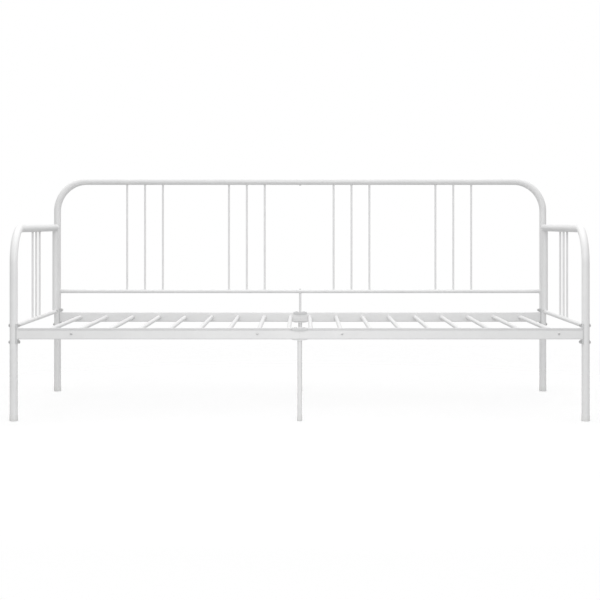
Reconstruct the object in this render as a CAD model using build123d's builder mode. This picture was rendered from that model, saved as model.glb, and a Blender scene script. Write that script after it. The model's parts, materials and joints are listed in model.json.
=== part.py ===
"""Metal daybed frame: tubular backrest, two arms and a slatted base on six legs.

Origin: centre of the footprint, on the floor. +X runs along the bed, +Y towards the
backrest, +Z up. Left is -X. Millimetres.
"""
from build123d import *
import os

# ---------------------------------------------------------------- driving dimensions
FRAME_LENGTH = 2080.0  # over the legs, for a 2000 mm mattress
LEG_DEPTH = 920.0  # front leg axis to rear leg axis, for a 900 mm mattress
BACK_HEIGHT = 900.0
ARM_HEIGHT = 704.5
CORNER_BEND_R = 125.0  # centreline radius of the backrest and arm bends

FRAME_TUBE_D = 28.6
FRAME_TUBE_WALL = 1.5
POST_TUBE_D = 25.4
POST_TUBE_WALL = 1.2
RAIL_TUBE_D = 16.0  # backrest cross rail, arm lower rail, slats, centre legs
RAIL_TUBE_WALL = 1.2
BAR_D = 8.0
CENTRE_POST_D = 10.0

SIDE_RAIL_HEIGHT = 40.0
SIDE_RAIL_THICKNESS = 20.0
SIDE_RAIL_WALL = 1.2
SIDE_RAIL_CORNER_R = 3.5
SIDE_RAIL_MID_Z = 313.3
UNDERCUT_TOP = 0.5  # from the rail's top down to where its outer face turns in
UNDERCUT_FOOT = 9.0
UNDERCUT_DEPTH = 4.5
SEAM_GAP = 0.2  # between the two halves of a rail or of the top tube
BACK_SEAM_X = -14.0  # the backrest's seams sit beside the screws in its middle

BACK_RAIL_Z = 422.0
ARM_RAIL_Z = 339.0
ARM_POST_TO_LEG = 50.0  # arm's rear post axis to rear leg axis

BARS_PER_GROUP = 3
BAR_GROUP_CENTRES = (221.2, 651.5)  # from the middle of the backrest, both sides
BAR_PITCH = 75.6
BAR_GROUP_SHIFT = -4.2  # all four groups sit a little to the left
ARM_BAR_FIRST = 362.0  # behind the front leg's axis
ARM_BAR_PITCH = 73.5

SLATS_PER_HALF = 9
SLAT_FIRST_X = 40.8
SLAT_PITCH = 111.0
SCREWED_SLATS = (2, 8, 11, 18)  # counted from the left
HOLE_CLEARANCE = 0.1  # on the radius

# ---------------------------------------------------------------- fittings
FOOT_CAP_HEIGHT = 22.0
FOOT_CAP_FLOOR = 4.0
FOOT_CAP_WALL = 1.0
END_CAP_FLANGE = 2.0
END_CAP_PLUG = 12.0
POST_FOOT_LAP = 2.0  # how far the rear post's foot laps over its rail

SADDLE_HEIGHT = 72.0
SADDLE_THICKNESS = 2.5
SADDLE_HALF_ANGLE = 55.0
CORNER_BOLT_OFFSET = 30.0  # above and below the rail's mid-height

JOINT_BOLT_OFFSET = 15.0  # each side of the seam in a side rail
JOINER_LENGTH = 60.0
JOINER_WALL = 2.0
CLAMP_LENGTH = 56.0
CLAMP_THICKNESS = 1.5
CLAMP_LIP_MIDDLE = 11.5
CLAMP_LIP_ENDS = 8.5
LEG_PLATE_MIDDLE = 4.5
LEG_PLATE_EDGE = 1.5
LEG_PLATE_TAPPED = 3.2
TOP_SLEEVE_LENGTH = 120.0
TOP_SLEEVE_WALL = 2.0
RAIL_SLEEVE_LENGTH = 90.0

M6_R = 3.0
M6_HOLE_R = 3.3
SOCKET_FLATS = 4.0
NUT_FLATS = 10.0
NUT_THICKNESS = 5.0
BOLT_HEAD_R = 6.0
BOLT_HEAD_H = 4.0
SCREW_HEAD_R = 4.5
SCREW_HEAD_H = 2.5
SEAM_SCREW_LENGTH = 9.0
POST_SCREW_LENGTH = 32.0
SLAT_SCREW_LENGTH = 12.0
INSERT_LENGTH = 15.0
ARM_SPACER_R = 6.0
ARM_NUT_FACE = 9.9  # where the weld nuts sit inside the rear post
ARM_BOLT_HEIGHTS = (400.0, 640.0)
BOLT_TAIL = 2.0  # thread showing past a nut

# ---------------------------------------------------------------- derived positions
FRAME_R = FRAME_TUBE_D / 2
POST_R = POST_TUBE_D / 2
RAIL_R = RAIL_TUBE_D / 2
LEG_X = FRAME_LENGTH / 2 - FRAME_R
FRONT_Y = -LEG_DEPTH / 2
REAR_Y = LEG_DEPTH / 2
BACK_TOP_Z = BACK_HEIGHT - FRAME_R
ARM_TOP_Z = ARM_HEIGHT - FRAME_R
ARM_POST_Y = REAR_Y - ARM_POST_TO_LEG
ARM_END_Y = ARM_POST_Y + FRAME_R
ARM_RAIL_END_Y = ARM_POST_Y + POST_R
RAIL_TOP_Z = SIDE_RAIL_MID_Z + SIDE_RAIL_HEIGHT / 2
RAIL_BOTTOM_Z = SIDE_RAIL_MID_Z - SIDE_RAIL_HEIGHT / 2
SADDLE_R = FRAME_R + SADDLE_THICKNESS
SLAT_END_Y = LEG_DEPTH / 2 + SIDE_RAIL_THICKNESS / 2 - SIDE_RAIL_WALL
RAIL_FACE_Y = LEG_DEPTH / 2 + SIDE_RAIL_THICKNESS / 2
CORNER_BOLT_HEIGHTS = (
    SIDE_RAIL_MID_Z - CORNER_BOLT_OFFSET,
    SIDE_RAIL_MID_Z + CORNER_BOLT_OFFSET,
)
SLAT_COUNT = 2 * SLATS_PER_HALF
SIDES = (("left", -1), ("right", 1))
ROWS = (("front", FRONT_Y), ("rear", REAR_Y))
UPWARD = (Align.CENTER, Align.CENTER, Align.MIN)
DOWNWARD = (Align.CENTER, Align.CENTER, Align.MAX)

os.makedirs("parts", exist_ok=True)


def write(piece, name):
    """Label a finished piece and write it as one node."""
    piece.part.label = name
    export_step(piece.part, f"parts/{name}.step")


def facing_x(x, y, z, side=1):
    """Plane at a point that faces along +X, or -X when the side is -1."""
    return Plane(origin=(x, y, z), x_dir=(0, 1, 0), z_dir=(side, 0, 0))


def facing_y(x, y, z, side=1):
    """Plane at a point that faces along +Y, or -Y when the side is -1."""
    return Plane(origin=(x, y, z), x_dir=(1, 0, 0), z_dir=(0, side, 0))


def slat_x(number):
    """Centre of a slat, counted from 1 at the left end."""
    if number > SLATS_PER_HALF:
        return SLAT_FIRST_X + SLAT_PITCH * (number - SLATS_PER_HALF - 1)
    return -SLAT_FIRST_X - SLAT_PITCH * (SLATS_PER_HALF - number)


def button_screw(head_r, head_height, length):
    """Domed socket screw: the head stands on Z = 0 and the shank runs down."""
    with BuildPart() as screw:
        Cylinder(head_r, head_height, align=UPWARD)
        fillet(screw.edges().sort_by(Axis.Z)[-1], 0.75 * head_height)
        Cylinder(M6_R, length, align=DOWNWARD)
        with BuildSketch(Plane.XY.offset(head_height)):
            RegularPolygon(SOCKET_FLATS / 2, 6, major_radius=False)
        extrude(amount=-0.5 * head_height, mode=Mode.SUBTRACT)
    return screw


def hex_nut(thickness):
    """Plain nut that stands on Z = 0 and runs up."""
    with BuildPart() as nut:
        with BuildSketch():
            RegularPolygon(NUT_FLATS / 2, 6, major_radius=False)
            Circle(M6_R, mode=Mode.SUBTRACT)
        extrude(amount=thickness)
    return nut


def foot_cap(tube_r):
    """Plastic cup that a leg stands in."""
    with BuildPart() as cap:
        Cylinder(tube_r + FOOT_CAP_WALL, FOOT_CAP_HEIGHT, align=UPWARD)
        fillet(cap.edges().filter_by(GeomType.CIRCLE), 0.6 * FOOT_CAP_WALL)
        with BuildSketch(Plane.XY.offset(FOOT_CAP_FLOOR)):
            Circle(tube_r)
        extrude(amount=FOOT_CAP_HEIGHT, mode=Mode.SUBTRACT)
    return cap


def place_copies(piece, places):
    """One node that holds a separate copy of the piece at each place."""
    with BuildPart() as group:
        with Locations(*places):
            add(piece.part)
    return group


# ---------------------------------------------------------------- backrest
def back_frame(side):
    """Rear leg, corner bend and half of the top tube, bent from one tube."""
    with BuildPart() as tube:
        with BuildLine():
            route = FilletPolyline(
                (side * LEG_X, REAR_Y, FOOT_CAP_FLOOR),
                (side * LEG_X, REAR_Y, BACK_TOP_Z),
                (BACK_SEAM_X + side * SEAM_GAP / 2, REAR_Y, BACK_TOP_Z),
                radius=CORNER_BEND_R,
            )
        with BuildSketch(Plane(origin=route @ 0, z_dir=route % 0)):
            Circle(FRAME_R)
            Circle(FRAME_R - FRAME_TUBE_WALL, mode=Mode.SUBTRACT)
        sweep()
        for height in CORNER_BOLT_HEIGHTS:
            with Locations(facing_x(side * LEG_X, REAR_Y, height)):
                Cylinder(M6_HOLE_R, 2 * FRAME_TUBE_D, mode=Mode.SUBTRACT)
        for height in ARM_BOLT_HEIGHTS:
            with Locations(facing_y(side * LEG_X, REAR_Y, height)):
                Cylinder(M6_HOLE_R, 2 * FRAME_TUBE_D, mode=Mode.SUBTRACT)
        if side > 0:
            with Locations((0, REAR_Y, BACK_TOP_Z - FRAME_R)):
                Cylinder(M6_HOLE_R, FRAME_R, mode=Mode.SUBTRACT)
    return tube


def back_lower_rail(side):
    """Half of the cross rail, its outer end shaped to the leg."""
    seam_x = BACK_SEAM_X + side * SEAM_GAP / 2
    with BuildPart() as rail:
        with BuildSketch(facing_x(seam_x, REAR_Y, BACK_RAIL_Z, side)):
            Circle(RAIL_R)
            Circle(RAIL_R - RAIL_TUBE_WALL, mode=Mode.SUBTRACT)
        extrude(amount=abs(side * LEG_X - seam_x))
        with Locations((side * LEG_X, REAR_Y, BACK_RAIL_Z)):
            Cylinder(FRAME_R, 4 * RAIL_TUBE_D, mode=Mode.SUBTRACT)
        if side > 0:
            with Locations((0, REAR_Y, BACK_RAIL_Z)):
                Cylinder(M6_HOLE_R, 2 * RAIL_TUBE_D, mode=Mode.SUBTRACT)
    return rail


def back_bars(group_centre):
    """Three upright bars welded between the top tube and the cross rail."""
    with BuildPart() as bars:
        with BuildSketch(Plane.XY.offset(BACK_RAIL_Z)):
            with Locations((group_centre, REAR_Y)):
                with GridLocations(BAR_PITCH, 0, BARS_PER_GROUP, 1):
                    Circle(BAR_D / 2)
        extrude(amount=BACK_TOP_Z - BACK_RAIL_Z)
        with Locations(facing_x(group_centre, REAR_Y, BACK_RAIL_Z)):
            Cylinder(RAIL_R, 4 * BAR_PITCH, mode=Mode.SUBTRACT)
        with Locations(facing_x(group_centre, REAR_Y, BACK_TOP_Z)):
            Cylinder(FRAME_R, 4 * BAR_PITCH, mode=Mode.SUBTRACT)
    return bars


for side_name, side in SIDES:
    write(back_frame(side), f"back_frame_{side_name}")
    write(back_lower_rail(side), f"back_lower_rail_{side_name}")
    for place, centre in zip(("inner", "outer"), BAR_GROUP_CENTRES):
        write(back_bars(side * centre + BAR_GROUP_SHIFT), f"back_bars_{place}_{side_name}")

with BuildPart() as back_top_sleeve:
    sleeve_r = FRAME_R - FRAME_TUBE_WALL - HOLE_CLEARANCE
    with Locations(facing_x(BACK_SEAM_X, REAR_Y, BACK_TOP_Z)):
        Cylinder(sleeve_r, TOP_SLEEVE_LENGTH)
        Cylinder(sleeve_r - TOP_SLEEVE_WALL, TOP_SLEEVE_LENGTH, mode=Mode.SUBTRACT)
    with Locations((0, REAR_Y, BACK_TOP_Z - sleeve_r)):
        Cylinder(M6_R, sleeve_r, mode=Mode.SUBTRACT)
write(back_top_sleeve, "back_top_sleeve")

with BuildPart() as back_rail_sleeve:
    sleeve_r = RAIL_R - RAIL_TUBE_WALL - HOLE_CLEARANCE
    with Locations(facing_x(BACK_SEAM_X, REAR_Y, BACK_RAIL_Z)):
        Cylinder(sleeve_r, RAIL_SLEEVE_LENGTH)
        Cylinder(sleeve_r - RAIL_TUBE_WALL, RAIL_SLEEVE_LENGTH, mode=Mode.SUBTRACT)
    with Locations((0, REAR_Y, BACK_RAIL_Z)):
        Cylinder(M6_HOLE_R, RAIL_TUBE_D, mode=Mode.SUBTRACT)
write(back_rail_sleeve, "back_rail_sleeve")

with BuildPart() as back_centre_post:
    with BuildSketch(Plane.XY.offset(RAIL_TOP_Z + CLAMP_THICKNESS)):
        with Locations((0, REAR_Y)):
            Circle(CENTRE_POST_D / 2)
            Circle(M6_R, mode=Mode.SUBTRACT)
    extrude(amount=BACK_RAIL_Z - RAIL_TOP_Z - CLAMP_THICKNESS)
    with Locations(facing_x(0, REAR_Y, BACK_RAIL_Z)):
        Cylinder(RAIL_R, 4 * CENTRE_POST_D, mode=Mode.SUBTRACT)
write(back_centre_post, "back_centre_post")

top_screw = button_screw(SCREW_HEAD_R, SCREW_HEAD_H, SEAM_SCREW_LENGTH)
post_screw = button_screw(SCREW_HEAD_R, SCREW_HEAD_H, POST_SCREW_LENGTH)
with BuildPart() as back_seam_screws:
    with Locations(Plane((0, REAR_Y, BACK_TOP_Z - FRAME_R), z_dir=(0, 0, -1))):
        add(top_screw.part)
    with Locations((0, REAR_Y, BACK_RAIL_Z + RAIL_R)):
        add(post_screw.part)
write(back_seam_screws, "back_seam_screws")


# ---------------------------------------------------------------- arms
def arm_frame(side):
    """Front leg, bend and horizontal arm, bent from one tube."""
    with BuildPart() as tube:
        with BuildLine():
            route = FilletPolyline(
                (side * LEG_X, FRONT_Y, FOOT_CAP_FLOOR),
                (side * LEG_X, FRONT_Y, ARM_TOP_Z),
                (side * LEG_X, ARM_END_Y - END_CAP_FLANGE, ARM_TOP_Z),
                radius=CORNER_BEND_R,
            )
        with BuildSketch(Plane(origin=route @ 0, z_dir=route % 0)):
            Circle(FRAME_R)
            Circle(FRAME_R - FRAME_TUBE_WALL, mode=Mode.SUBTRACT)
        sweep()
        for height in CORNER_BOLT_HEIGHTS:
            with Locations(facing_x(side * LEG_X, FRONT_Y, height)):
                Cylinder(M6_HOLE_R, 2 * FRAME_TUBE_D, mode=Mode.SUBTRACT)
    return tube


def arm_rear_post(side):
    """Post between the arm tube and the arm's lower rail, shaped to both."""
    foot_z = ARM_RAIL_Z + RAIL_R - POST_FOOT_LAP
    with BuildPart() as post:
        with BuildSketch(Plane.XY.offset(foot_z)):
            with Locations((side * LEG_X, ARM_POST_Y)):
                Circle(POST_R)
                Circle(POST_R - POST_TUBE_WALL, mode=Mode.SUBTRACT)
        extrude(amount=ARM_TOP_Z - foot_z)
        with Locations(facing_y(side * LEG_X, ARM_POST_Y, ARM_TOP_Z)):
            Cylinder(FRAME_R, 4 * FRAME_TUBE_D, mode=Mode.SUBTRACT)
        with Locations(facing_y(side * LEG_X, ARM_POST_Y, ARM_RAIL_Z)):
            Cylinder(RAIL_R, 4 * FRAME_TUBE_D, mode=Mode.SUBTRACT)
        for height in ARM_BOLT_HEIGHTS:
            with Locations(facing_y(side * LEG_X, ARM_POST_Y + POST_R, height)):
                Cylinder(M6_HOLE_R, POST_R, mode=Mode.SUBTRACT)
    return post


def arm_lower_rail(side):
    """Rail from the front leg to the rear post's foot."""
    with BuildPart() as rail:
        with BuildSketch(facing_y(side * LEG_X, FRONT_Y, ARM_RAIL_Z)):
            Circle(RAIL_R)
            Circle(RAIL_R - RAIL_TUBE_WALL, mode=Mode.SUBTRACT)
        extrude(amount=ARM_RAIL_END_Y - END_CAP_FLANGE - FRONT_Y)
        with Locations((side * LEG_X, FRONT_Y, ARM_RAIL_Z)):
            Cylinder(FRAME_R, 4 * RAIL_TUBE_D, mode=Mode.SUBTRACT)
    return rail


def arm_bars(side):
    """Three bars between the lower rail and the arm tube."""
    middle_y = FRONT_Y + ARM_BAR_FIRST + ARM_BAR_PITCH
    with BuildPart() as bars:
        with BuildSketch(Plane.XY.offset(ARM_RAIL_Z)):
            with Locations((side * LEG_X, middle_y)):
                with GridLocations(0, ARM_BAR_PITCH, 1, BARS_PER_GROUP):
                    Circle(BAR_D / 2)
        extrude(amount=ARM_TOP_Z - ARM_RAIL_Z)
        with Locations(facing_y(side * LEG_X, middle_y, ARM_RAIL_Z)):
            Cylinder(RAIL_R, 4 * ARM_BAR_PITCH, mode=Mode.SUBTRACT)
        with Locations(facing_y(side * LEG_X, middle_y, ARM_TOP_Z)):
            Cylinder(FRAME_R, 4 * ARM_BAR_PITCH, mode=Mode.SUBTRACT)
    return bars


for side_name, side in SIDES:
    write(arm_frame(side), f"arm_frame_{side_name}")
    write(arm_rear_post(side), f"arm_rear_post_{side_name}")
    write(arm_lower_rail(side), f"arm_lower_rail_{side_name}")
    write(arm_bars(side), f"arm_bars_{side_name}")

ARM_TUBE_ENDS = (
    (FRAME_R, FRAME_TUBE_WALL, ARM_END_Y, ARM_TOP_Z),
    (RAIL_R, RAIL_TUBE_WALL, ARM_RAIL_END_Y, ARM_RAIL_Z),
)
with BuildPart() as arm_end_caps:
    for _, side in SIDES:
        for tube_r, wall, end_y, height in ARM_TUBE_ENDS:
            with BuildSketch(facing_y(side * LEG_X, end_y, height, -1)):
                Circle(tube_r)
            extrude(amount=END_CAP_FLANGE)
            with BuildSketch(facing_y(side * LEG_X, end_y - END_CAP_FLANGE, height, -1)):
                Circle(tube_r - wall)
            extrude(amount=END_CAP_PLUG)
write(arm_end_caps, "arm_end_caps")

ARM_BOLT_PLACES = [(side * LEG_X, height) for _, side in SIDES for height in ARM_BOLT_HEIGHTS]
with BuildPart() as arm_spacers:
    for x, height in ARM_BOLT_PLACES:
        with BuildSketch(facing_y(x, ARM_POST_Y, height)):
            Circle(ARM_SPACER_R)
            Circle(M6_HOLE_R, mode=Mode.SUBTRACT)
        extrude(amount=ARM_POST_TO_LEG)
    for _, side in SIDES:
        with Locations((side * LEG_X, ARM_POST_Y, ARM_HEIGHT / 2)):
            Cylinder(POST_R, ARM_HEIGHT, mode=Mode.SUBTRACT)
        with Locations((side * LEG_X, REAR_Y, ARM_HEIGHT / 2)):
            Cylinder(FRAME_R, ARM_HEIGHT, mode=Mode.SUBTRACT)
write(arm_spacers, "arm_spacers")

arm_bolt_length = FRAME_R + ARM_POST_TO_LEG - ARM_NUT_FACE + NUT_THICKNESS + BOLT_TAIL
arm_bolt_planes = [facing_y(x, REAR_Y + FRAME_R, height) for x, height in ARM_BOLT_PLACES]
arm_nut_planes = [facing_y(x, ARM_POST_Y + ARM_NUT_FACE, height, -1) for x, height in ARM_BOLT_PLACES]
arm_bolt = button_screw(BOLT_HEAD_R, BOLT_HEAD_H, arm_bolt_length)
write(place_copies(arm_bolt, arm_bolt_planes), "arm_bolts")
write(place_copies(hex_nut(NUT_THICKNESS), arm_nut_planes), "arm_weld_nuts")


# ---------------------------------------------------------------- side rails
def rail_profile(outward):
    """A side rail's outline, with the undercut below its outer top edge."""
    face = outward * SIDE_RAIL_THICKNESS / 2
    top = SIDE_RAIL_HEIGHT / 2
    with BuildSketch() as profile:
        RectangleRounded(SIDE_RAIL_THICKNESS, SIDE_RAIL_HEIGHT, SIDE_RAIL_CORNER_R)
        # The corner above the undercut is a tight fold, not a soft bend.
        with Locations((face - outward * SIDE_RAIL_CORNER_R, top - SIDE_RAIL_CORNER_R)):
            Rectangle(2 * SIDE_RAIL_CORNER_R, 2 * SIDE_RAIL_CORNER_R)
        with BuildLine():
            Polyline(
                (face + outward, top - UNDERCUT_TOP),
                (face, top - UNDERCUT_TOP),
                (face - outward * UNDERCUT_DEPTH, top - UNDERCUT_FOOT),
                (face + outward, top - UNDERCUT_FOOT),
                close=True,
            )
        make_face(mode=Mode.SUBTRACT)
    return profile.sketch


def side_rail(side, row_y):
    """Half of a side rail: rectangular tube, drilled for its slats and bolts."""
    inward = -1 if row_y > 0 else 1
    first_slat = 1 if side < 0 else SLATS_PER_HALF + 1
    half_slats = range(first_slat, first_slat + SLATS_PER_HALF)
    start_x = SEAM_GAP / 2 if side > 0 else -LEG_X
    with BuildPart() as rail:
        with BuildSketch(facing_x(start_x, row_y, SIDE_RAIL_MID_Z)):
            add(rail_profile(-inward))
            offset(amount=-SIDE_RAIL_WALL, mode=Mode.SUBTRACT)
        extrude(amount=LEG_X - SEAM_GAP / 2)
        with Locations((side * LEG_X, row_y, SIDE_RAIL_MID_Z)):
            Cylinder(SADDLE_R, 2 * SIDE_RAIL_HEIGHT, mode=Mode.SUBTRACT)
        for number in half_slats:
            with BuildSketch(facing_y(slat_x(number), row_y, SIDE_RAIL_MID_Z, inward)):
                Circle(RAIL_R + HOLE_CLEARANCE)
            extrude(amount=SIDE_RAIL_THICKNESS, mode=Mode.SUBTRACT)
            if number in SCREWED_SLATS:
                with BuildSketch(facing_y(slat_x(number), row_y, SIDE_RAIL_MID_Z, -inward)):
                    Circle(M6_HOLE_R)
                extrude(amount=SIDE_RAIL_THICKNESS, mode=Mode.SUBTRACT)
        with Locations((side * JOINT_BOLT_OFFSET, row_y, SIDE_RAIL_MID_Z)):
            Cylinder(M6_HOLE_R, 2 * SIDE_RAIL_HEIGHT, mode=Mode.SUBTRACT)
    return rail


for row_name, row_y in ROWS:
    for side_name, side in SIDES:
        write(side_rail(side, row_y), f"{row_name}_rail_{side_name}")

def end_saddle():
    """Curved plate that hugs a leg on its +X side, drilled for two bolts."""
    with BuildPart() as saddle:
        with BuildSketch():
            with BuildLine():
                outer = CenterArc((0, 0), SADDLE_R, -SADDLE_HALF_ANGLE, 2 * SADDLE_HALF_ANGLE)
                inner = CenterArc((0, 0), FRAME_R, -SADDLE_HALF_ANGLE, 2 * SADDLE_HALF_ANGLE)
                Line(outer @ 0, inner @ 0)
                Line(outer @ 1, inner @ 1)
            make_face()
        extrude(amount=SADDLE_HEIGHT / 2, both=True)
        with BuildSketch(facing_x(0, 0, 0)):
            with GridLocations(0, 2 * CORNER_BOLT_OFFSET, 1, 2):
                Circle(M6_HOLE_R)
        extrude(amount=2 * SADDLE_R, mode=Mode.SUBTRACT)
    return saddle


saddle_places = [
    Location((side * LEG_X, row_y, SIDE_RAIL_MID_Z), (0, 0, 180 if side > 0 else 0))
    for _, row_y in ROWS
    for _, side in SIDES
]
write(place_copies(end_saddle(), saddle_places), "rail_end_saddles")


def rail_joiner(row_y):
    """Inner channel across the seam of a side rail, shaped like the rail's inside."""
    outward = 1 if row_y > 0 else -1
    with BuildPart() as joiner:
        with BuildSketch(facing_x(-JOINER_LENGTH / 2, row_y, SIDE_RAIL_MID_Z)):
            add(rail_profile(outward))
            offset(amount=-SIDE_RAIL_WALL - HOLE_CLEARANCE, mode=Mode.REPLACE)
            offset(amount=-JOINER_WALL, mode=Mode.SUBTRACT)
        extrude(amount=JOINER_LENGTH)
        with Locations((0, row_y, SIDE_RAIL_MID_Z)):
            with GridLocations(2 * JOINT_BOLT_OFFSET, 0, 2, 1):
                Cylinder(M6_HOLE_R, 2 * SIDE_RAIL_HEIGHT, mode=Mode.SUBTRACT)
    return joiner


def centre_leg(row_y):
    """Centre leg with the curved plate that bolts under the rail's seam."""
    with BuildPart() as leg:
        with BuildSketch(facing_y(0, row_y - SIDE_RAIL_THICKNESS / 2, RAIL_BOTTOM_Z)):
            with BuildLine():
                half = CLAMP_LENGTH / 2
                top = Line((-half, 0), (half, 0))
                # On this plane +Y of the sketch points down.
                right = Line(top @ 1, (half, LEG_PLATE_EDGE))
                left = Line(top @ 0, (-half, LEG_PLATE_EDGE))
                ThreePointArc(left @ 1, (0, LEG_PLATE_MIDDLE), right @ 1)
            make_face()
        extrude(amount=SIDE_RAIL_THICKNESS)
        with Locations((0, row_y, RAIL_BOTTOM_Z - LEG_PLATE_MIDDLE)):
            with GridLocations(2 * JOINT_BOLT_OFFSET, 0, 2, 1):
                Cylinder(M6_HOLE_R, 4 * LEG_PLATE_MIDDLE, mode=Mode.SUBTRACT)
        with BuildSketch(Plane.XY.offset(FOOT_CAP_FLOOR)):
            with Locations((0, row_y)):
                Circle(RAIL_R)
                Circle(RAIL_R - RAIL_TUBE_WALL, mode=Mode.SUBTRACT)
        extrude(amount=RAIL_BOTTOM_Z - LEG_PLATE_EDGE - FOOT_CAP_FLOOR)
    return leg


for row_name, row_y in ROWS:
    write(rail_joiner(row_y), f"{row_name}_rail_joiner")
    write(centre_leg(row_y), f"{row_name}_centre_leg")

with BuildPart() as rail_joint_clamps:
    for _, row_y in ROWS:
        with BuildSketch(facing_x(-CLAMP_LENGTH / 2, row_y, RAIL_TOP_Z + CLAMP_THICKNESS)):
            Rectangle(
                SIDE_RAIL_THICKNESS + 2 * CLAMP_THICKNESS,
                SIDE_RAIL_HEIGHT / 2,
                align=(Align.CENTER, Align.MAX),
            )
        extrude(amount=CLAMP_LENGTH)
        with BuildSketch(facing_x(-CLAMP_LENGTH / 2, row_y, RAIL_TOP_Z)):
            Rectangle(
                SIDE_RAIL_THICKNESS,
                SIDE_RAIL_HEIGHT,
                align=(Align.CENTER, Align.MAX),
            )
        extrude(amount=CLAMP_LENGTH, mode=Mode.SUBTRACT)
        # Both lips are cut back to a lens, deepest over the seam.
        with BuildSketch(facing_y(0, row_y, RAIL_TOP_Z)):
            with BuildLine():
                half = CLAMP_LENGTH / 2 + CLAMP_THICKNESS
                # On this plane +Y of the sketch points down.
                foot = Line((-half, SIDE_RAIL_HEIGHT), (half, SIDE_RAIL_HEIGHT))
                left = Line(foot @ 0, (-half, CLAMP_LIP_ENDS))
                right = Line(foot @ 1, (half, CLAMP_LIP_ENDS))
                ThreePointArc(left @ 1, (0, CLAMP_LIP_MIDDLE), right @ 1)
            make_face()
        extrude(amount=SIDE_RAIL_THICKNESS, both=True, mode=Mode.SUBTRACT)
        with Locations((0, row_y, RAIL_TOP_Z)):
            with GridLocations(2 * JOINT_BOLT_OFFSET, 0, 2, 1):
                Cylinder(M6_HOLE_R, SIDE_RAIL_THICKNESS, mode=Mode.SUBTRACT)
write(rail_joint_clamps, "rail_joint_clamps")


# ---------------------------------------------------------------- slats
def slat(number):
    """Round slat between the front and rear rails, plugged into both."""
    with BuildPart() as tube:
        with BuildSketch(facing_y(slat_x(number), -SLAT_END_Y, SIDE_RAIL_MID_Z)):
            Circle(RAIL_R)
            Circle(RAIL_R - RAIL_TUBE_WALL, mode=Mode.SUBTRACT)
        extrude(amount=2 * SLAT_END_Y)
    return tube


for number in range(1, SLAT_COUNT + 1):
    write(slat(number), f"slat_{number:02d}")

with BuildPart() as slat_inserts:
    for number in SCREWED_SLATS:
        for outward in (-1, 1):
            end = facing_y(slat_x(number), outward * SLAT_END_Y, SIDE_RAIL_MID_Z, -outward)
            with BuildSketch(end):
                Circle(RAIL_R - RAIL_TUBE_WALL)
                Circle(M6_R, mode=Mode.SUBTRACT)
            extrude(amount=INSERT_LENGTH)
write(slat_inserts, "slat_inserts")

slat_screw_planes = [
    facing_y(slat_x(number), outward * RAIL_FACE_Y, SIDE_RAIL_MID_Z, outward)
    for number in SCREWED_SLATS
    for outward in (-1, 1)
]
slat_screw = button_screw(SCREW_HEAD_R, SCREW_HEAD_H, SLAT_SCREW_LENGTH)
write(place_copies(slat_screw, slat_screw_planes), "slat_screws")

# ---------------------------------------------------------------- feet and bolts
corners = [(side * LEG_X, row_y) for _, row_y in ROWS for _, side in SIDES]
middles = [(0, row_y) for _, row_y in ROWS]
write(place_copies(foot_cap(FRAME_R), corners), "corner_foot_caps")
write(place_copies(foot_cap(RAIL_R), middles), "centre_foot_caps")

corner_bolt_planes = []
corner_nut_planes = []
for _, row_y in ROWS:
    for _, side in SIDES:
        for height in CORNER_BOLT_HEIGHTS:
            head_x = side * (LEG_X + FRAME_R)
            nut_x = side * (LEG_X - SADDLE_R)
            corner_bolt_planes.append(facing_x(head_x, row_y, height, side))
            corner_nut_planes.append(facing_x(nut_x, row_y, height, -side))
corner_bolt_length = FRAME_R + SADDLE_R + NUT_THICKNESS + BOLT_TAIL
corner_bolt = button_screw(BOLT_HEAD_R, BOLT_HEAD_H, corner_bolt_length)
write(place_copies(corner_bolt, corner_bolt_planes), "corner_bolts")
write(place_copies(hex_nut(NUT_THICKNESS), corner_nut_planes), "corner_nuts")

joint_bolt_places = [
    (x, row_y, RAIL_TOP_Z + CLAMP_THICKNESS)
    for _, row_y in ROWS
    for x in (-JOINT_BOLT_OFFSET, JOINT_BOLT_OFFSET)
]
# These bolts end inside the leg plate, which is tapped for them.
joint_bolt_length = CLAMP_THICKNESS + SIDE_RAIL_HEIGHT + LEG_PLATE_TAPPED
joint_bolt = button_screw(SCREW_HEAD_R, SCREW_HEAD_H, joint_bolt_length)
write(place_copies(joint_bolt, joint_bolt_places), "rail_joint_bolts")
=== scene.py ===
import json
import math
import bmesh
import bpy
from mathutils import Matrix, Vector

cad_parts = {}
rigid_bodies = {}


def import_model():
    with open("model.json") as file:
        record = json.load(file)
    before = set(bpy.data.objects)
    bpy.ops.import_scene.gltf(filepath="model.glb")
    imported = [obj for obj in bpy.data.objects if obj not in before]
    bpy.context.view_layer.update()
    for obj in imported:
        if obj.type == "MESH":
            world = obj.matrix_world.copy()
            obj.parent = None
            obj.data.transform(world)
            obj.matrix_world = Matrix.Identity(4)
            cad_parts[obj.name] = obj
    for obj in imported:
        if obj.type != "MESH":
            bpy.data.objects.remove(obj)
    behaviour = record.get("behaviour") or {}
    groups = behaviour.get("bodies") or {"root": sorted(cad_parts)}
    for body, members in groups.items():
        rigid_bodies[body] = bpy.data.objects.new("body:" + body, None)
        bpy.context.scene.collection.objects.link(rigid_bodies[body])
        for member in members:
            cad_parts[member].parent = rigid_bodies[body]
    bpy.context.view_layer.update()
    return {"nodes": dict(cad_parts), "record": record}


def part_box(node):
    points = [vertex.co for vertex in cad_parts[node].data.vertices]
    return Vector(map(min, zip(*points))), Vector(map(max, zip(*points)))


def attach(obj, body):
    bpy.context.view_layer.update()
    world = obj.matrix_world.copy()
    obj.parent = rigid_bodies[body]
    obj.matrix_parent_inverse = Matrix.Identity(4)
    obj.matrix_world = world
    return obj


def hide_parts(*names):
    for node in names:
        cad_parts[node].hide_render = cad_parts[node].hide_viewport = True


for leftover in list(bpy.data.objects):
    bpy.data.objects.remove(leftover)
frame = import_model()
BODY = "root"
X_AXIS = Vector((1, 0, 0))
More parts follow.
